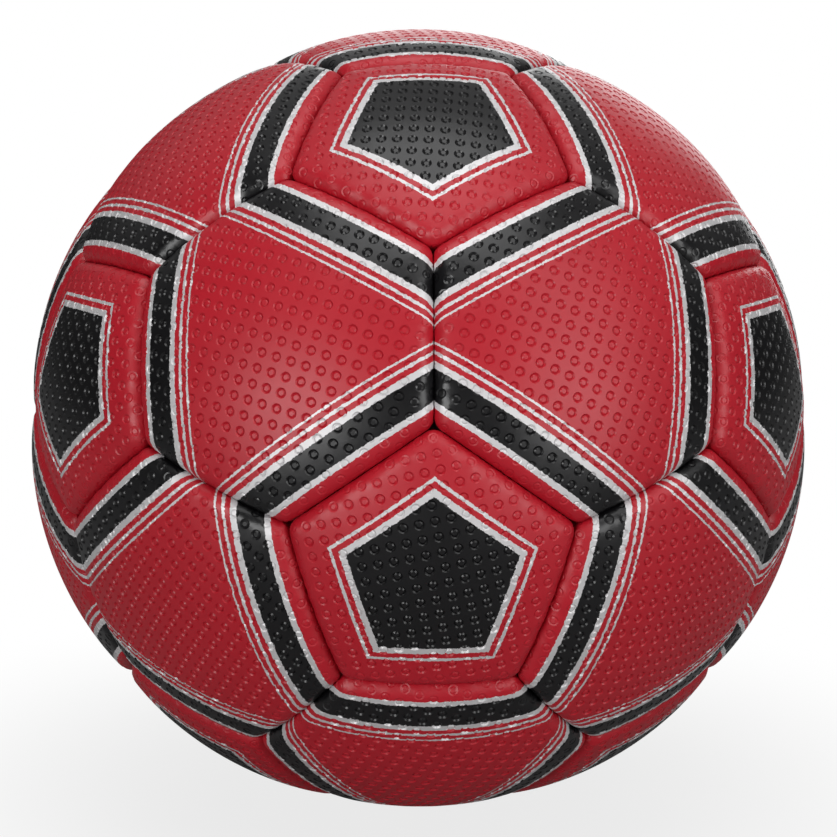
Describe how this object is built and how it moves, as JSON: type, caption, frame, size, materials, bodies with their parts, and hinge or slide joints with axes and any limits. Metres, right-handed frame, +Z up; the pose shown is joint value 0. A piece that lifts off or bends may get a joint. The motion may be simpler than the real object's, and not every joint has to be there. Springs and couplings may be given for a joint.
{
  "type": "handball",
  "caption": "Hand-sewn handball with pillowed, dimpled leather-like hexagon and pentagon panels over foam and lining, an inner bladder and a needle valve; gripped and thrown in one hand.",
  "frame": {"origin": "centre of the ball", "axes": "+Z up through the middle of a hexagon, with the ball resting on the opposite hexagon; -Y is the side that faces the camera, and +X is its right, through the middle of a seam between two hexagons"},
  "size_m": [0.1862, 0.1866, 0.1878],
  "materials": {
    "hexagon_leather": "satin dimpled synthetic leather, red",
    "pentagon_leather": "satin dimpled synthetic leather, red with a black centre",
    "foam": "soft closed-cell foam",
    "lining_cloth": "woven polyester-cotton lining",
    "waxed_thread": "waxed polyester thread",
    "bladder_rubber": "thin matt rubber",
    "valve_rubber": "moulded rubber",
    "plug_rubber": "soft moulded rubber"
  },
  "bodies": {
    "root": {"bladder": "bladder_rubber", "hexagon_foams": "foam", "hexagon_linings": "lining_cloth", "hexagon_panel_01": "hexagon_leather", "hexagon_panel_02": "hexagon_leather", "hexagon_panel_03": "hexagon_leather", "hexagon_panel_04": "hexagon_leather", "hexagon_panel_06": "hexagon_leather", "hexagon_panel_07": "hexagon_leather", "hexagon_panel_08": "hexagon_leather", "hexagon_panel_09": "hexagon_leather", "hexagon_panel_10": "hexagon_leather", "hexagon_panel_11": "hexagon_leather", "hexagon_panel_12": "hexagon_leather", "hexagon_panel_13": "hexagon_leather", "hexagon_panel_14": "hexagon_leather", "hexagon_panel_15": "hexagon_leather", "hexagon_panel_16": "hexagon_leather", "hexagon_panel_17": "hexagon_leather", "hexagon_panel_18": "hexagon_leather", "hexagon_panel_19": "hexagon_leather", "hexagon_panel_20": "hexagon_leather", "hexagon_panel_valve": "hexagon_leather", "hexagon_seam_threads": "waxed_thread", "pentagon_foams": "foam", "pentagon_linings": "lining_cloth", "pentagon_panel_01": "pentagon_leather", "pentagon_panel_02": "pentagon_leather", "pentagon_panel_03": "pentagon_leather", "pentagon_panel_04": "pentagon_leather", "pentagon_panel_05": "pentagon_leather", "pentagon_panel_06": "pentagon_leather", "pentagon_panel_07": "pentagon_leather", "pentagon_panel_08": "pentagon_leather", "pentagon_panel_09": "pentagon_leather", "pentagon_panel_10": "pentagon_leather", "pentagon_panel_11": "pentagon_leather", "pentagon_panel_12": "pentagon_leather", "pentagon_seam_threads": "waxed_thread", "valve_body": "valve_rubber", "valve_patch": "bladder_rubber", "valve_plug": "plug_rubber"}
  },
  "joints": []
}
